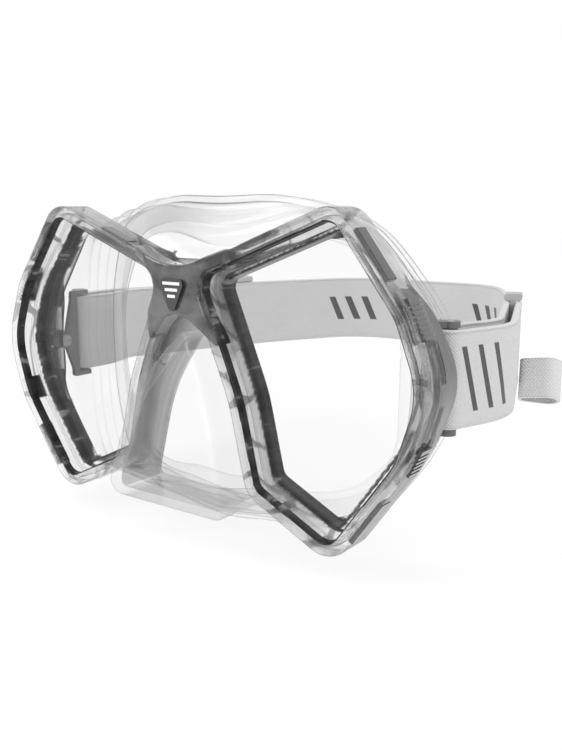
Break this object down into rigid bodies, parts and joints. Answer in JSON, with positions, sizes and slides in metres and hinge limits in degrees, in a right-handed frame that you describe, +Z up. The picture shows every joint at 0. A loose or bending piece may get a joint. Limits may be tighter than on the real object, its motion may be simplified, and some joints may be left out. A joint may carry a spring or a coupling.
{
  "type": "diving mask",
  "caption": "Twin-lens diving mask with a clear frame, a soft skirt with a nose pocket, swivelling strap links and an adjustable elastic strap.",
  "frame": {"origin": "middle of the flat front face of the badge on the nose bridge", "axes": "+X towards the wearer's left, +Y from the glass towards the face, +Z up"},
  "size_m": [0.1718, 0.1721, 0.106],
  "materials": {
    "clear_rim": "clear polished polycarbonate",
    "clear_frame": "clear polished polycarbonate",
    "lens_glass": "clear tempered safety glass",
    "dark_key": "black moulded plastic",
    "smoke_trim": "smoke grey polished plastic",
    "badge_black": "black gloss",
    "badge_white": "white gloss",
    "silicone": "clear liquid silicone rubber, satin",
    "smoke_buckle": "dark smoke moulded plastic",
    "steel": "brushed stainless steel",
    "grey_plastic": "mid grey moulded acetal",
    "strap_fabric": "light grey elastic woven band",
    "loop_fabric": "light grey ribbed woven tape"
  },
  "bodies": {
    "frame": {"badge_bar_lower": "badge_white", "badge_bar_middle": "badge_white", "badge_bar_upper": "badge_white", "bezel_left": "clear_rim", "bezel_right": "clear_rim", "bridge_trim": "smoke_trim", "brow_key_left": "dark_key", "brow_key_right": "dark_key", "cheek_key_left": "dark_key", "cheek_key_right": "dark_key", "lens_left": "lens_glass", "lens_right": "lens_glass", "main_frame": "clear_frame", "nose_badge": "badge_black", "pivot_stud_left": "steel", "pivot_stud_right": "steel", "skirt": "silicone", "temple_carrier_left": "smoke_buckle", "temple_carrier_right": "smoke_buckle", "temple_key_left": "dark_key", "temple_key_right": "dark_key"},
    "strap": {"strap_band": "strap_fabric", "swivel_link_left": "smoke_buckle", "roller_pin_left": "steel"},
    "link_right": {"swivel_link_right": "smoke_buckle", "roller_pin_right": "steel"},
    "roller_left": {"strap_roller_left": "grey_plastic"},
    "keeper_left": {"strap_keeper_left": "grey_plastic", "pull_loop_left": "loop_fabric"},
    "button_upper_left": {"release_button_upper_left": "smoke_buckle"},
    "button_lower_left": {"release_button_lower_left": "smoke_buckle"},
    "roller_right": {"strap_roller_right": "grey_plastic"},
    "keeper_right": {"strap_keeper_right": "grey_plastic", "pull_loop_right": "loop_fabric"},
    "button_upper_right": {"release_button_upper_right": "smoke_buckle"},
    "button_lower_right": {"release_button_lower_right": "smoke_buckle"}
  },
  "joints": [
    {"name": "strap_swivel", "type": "hinge", "parent": "frame", "child": "strap", "pos_m": [0.079, 0.0197, -0.0232], "axis": [1, 0, 0], "range_deg": [-10, 10]},
    {"name": "swivel_right", "type": "hinge", "parent": "frame", "child": "link_right", "pos_m": [-0.079, 0.0197, -0.0232], "axis": [1, 0, 0], "range_deg": [-10, 10]},
    {"name": "roller_left_spin", "type": "hinge", "parent": "strap", "child": "roller_left", "pos_m": [0.0766, 0.0298, -0.0212], "axis": [0, 0, 1], "continuous": true},
    {"name": "keeper_left_slide", "type": "slide", "parent": "strap", "child": "keeper_left", "axis": [0.3371, -0.9415, 0], "range_m": [0, 0.03]},
    {"name": "button_upper_left_press", "type": "slide", "parent": "frame", "child": "button_upper_left", "axis": [0.4845, 0, -0.8748], "range_m": [0, 0.002], "stiffness_N_per_m": 400},
    {"name": "button_lower_left_press", "type": "slide", "parent": "frame", "child": "button_lower_left", "axis": [0.4467, 0, 0.8947], "range_m": [0, 0.002], "stiffness_N_per_m": 400},
    {"name": "roller_right_spin", "type": "hinge", "parent": "link_right", "child": "roller_right", "pos_m": [-0.0766, 0.0298, -0.0212], "axis": [0, 0, 1], "continuous": true},
    {"name": "keeper_right_slide", "type": "slide", "parent": "strap", "child": "keeper_right", "axis": [-0.3371, -0.9415, 0], "range_m": [0, 0.03]},
    {"name": "button_upper_right_press", "type": "slide", "parent": "frame", "child": "button_upper_right", "axis": [-0.4845, 0, -0.8748], "range_m": [0, 0.002], "stiffness_N_per_m": 400},
    {"name": "button_lower_right_press", "type": "slide", "parent": "frame", "child": "button_lower_right", "axis": [-0.4467, 0, 0.8947], "range_m": [0, 0.002], "stiffness_N_per_m": 400}
  ],
  "couplings": [
    {"joint": "swivel_right", "follows": "strap_swivel", "ratio": 1}
  ]
}
